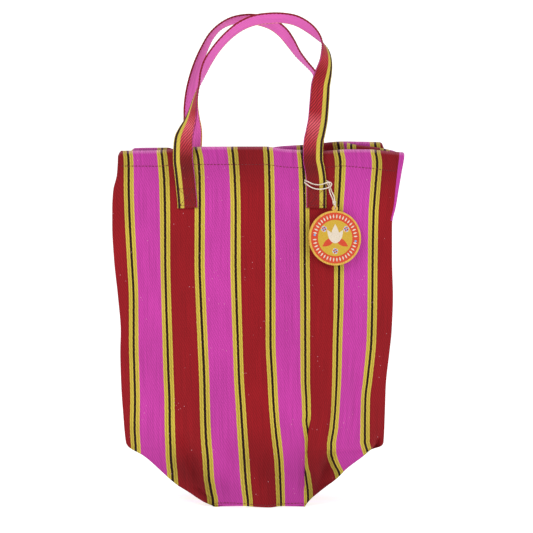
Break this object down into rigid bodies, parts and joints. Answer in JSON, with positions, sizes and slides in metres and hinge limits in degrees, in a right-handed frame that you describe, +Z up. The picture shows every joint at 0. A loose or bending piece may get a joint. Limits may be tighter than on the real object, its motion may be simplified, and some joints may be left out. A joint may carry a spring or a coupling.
{
  "type": "striped woven tote bag",
  "caption": "Upright carrier bag of striped woven plastic cloth with a boxed base, strap handles, an open mouth and a round swing tag on a string.",
  "frame": {"origin": "middle of the underside of the base, at the centre of the whole bag's outline seen from above", "axes": "+Z up from the base to the mouth and handles, the front of the bag faces -Y, +X to the right seen from the front"},
  "size_m": [0.3038, 0.153, 0.5094],
  "materials": {
    "striped_cloth": "coarse twill woven from plastic yarn, matt with a slight shine, pink and red stripes with yellow and black lines",
    "strap_cloth": "folded strip of the same twill, red outside with a yellow and black edge, pink inside",
    "sewing_thread": "matt twisted thread",
    "tag_cord": "undyed cotton string, matt",
    "tag_board": "thin board with a printed face, satin"
  },
  "bodies": {
    "bag_back": {"back_panel": "striped_cloth", "base_panel": "striped_cloth", "left_corner_fold": "striped_cloth", "right_corner_fold": "striped_cloth", "left_side_seam": "sewing_thread", "right_side_seam": "sewing_thread", "back_hem": "striped_cloth", "back_hem_thread": "sewing_thread", "back_base_seam": "sewing_thread", "back_left_tab": "strap_cloth", "back_right_tab": "strap_cloth", "back_tab_thread": "sewing_thread"},
    "bag_front": {"front_panel": "striped_cloth", "front_hem": "striped_cloth", "front_hem_thread": "sewing_thread", "front_base_seam": "sewing_thread", "front_left_tab": "strap_cloth", "front_right_tab": "strap_cloth", "front_tab_thread": "sewing_thread", "tag_string_hitch": "tag_cord"},
    "front_handle": {"front_handle_strap": "strap_cloth"},
    "back_handle": {"back_handle_strap": "strap_cloth"},
    "tag_string": {"tag_string_fall": "tag_cord", "tag_knot": "tag_cord"},
    "swing_tag": {"tag_disc": "tag_board"}
  },
  "joints": [
    {"name": "mouth_open", "type": "hinge", "parent": "bag_back", "child": "bag_front", "pos_m": [0, -0.0765, 0.001], "axis": [1, 0, 0], "range_deg": [0, 8]},
    {"name": "front_handle_fold", "type": "hinge", "parent": "bag_front", "child": "front_handle", "pos_m": [0, -0.0154, 0.3643], "axis": [1, 0, 0], "range_deg": [0, 140]},
    {"name": "back_handle_fold", "type": "hinge", "parent": "bag_back", "child": "back_handle", "pos_m": [0, 0.0154, 0.3703], "axis": [-1, 0, 0], "range_deg": [0, 140]},
    {"name": "tag_lift", "type": "hinge", "parent": "bag_front", "child": "tag_string", "pos_m": [0.0726, -0.0194, 0.3226], "axis": [-0.9563, -0.2924, 0], "range_deg": [0, 40]},
    {"name": "tag_swing", "type": "hinge", "parent": "tag_string", "child": "swing_tag", "pos_m": [0.0776, -0.02153, 0.30324], "axis": [0.2919, -0.9547, 0.0584], "range_deg": [-30, 30]}
  ]
}
